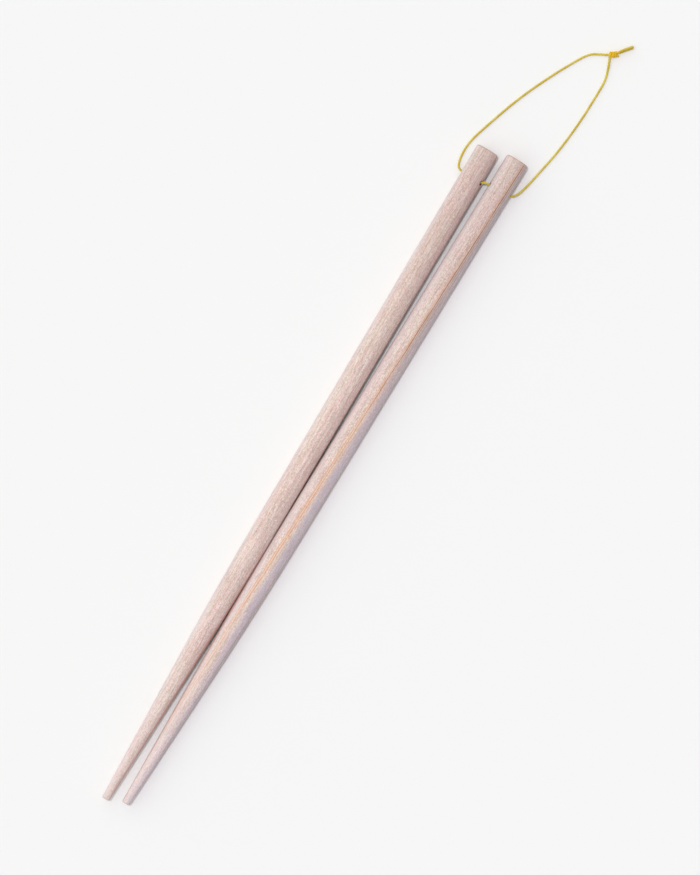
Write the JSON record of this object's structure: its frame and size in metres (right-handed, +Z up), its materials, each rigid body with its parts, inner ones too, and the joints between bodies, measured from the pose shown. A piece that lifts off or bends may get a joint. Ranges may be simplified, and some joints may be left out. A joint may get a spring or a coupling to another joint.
{
  "type": "pair of wooden chopsticks",
  "caption": "Long round tapered wooden cooking chopsticks, tied at the thick ends by a thin yellow cord threaded through cross holes and knotted into a hanging loop.",
  "frame": {"origin": "middle of the two sticks' footprint on the surface that they lie on", "axes": "+X along the pair from the tips to the thick ends, halfway between the two sticks; +Y towards the left stick as seen from above with the thick ends away; +Z up"},
  "size_m": [0.4016, 0.0419, 0.0105],
  "materials": {
    "wood": "bare sanded pale wood with fine straight grain",
    "cord": "twisted yellow thread with a slight sheen"
  },
  "bodies": {
    "root": {"left_chopstick": "wood", "right_chopstick": "wood", "hanging_cord": "cord", "cord_knot": "cord"}
  },
  "joints": []
}
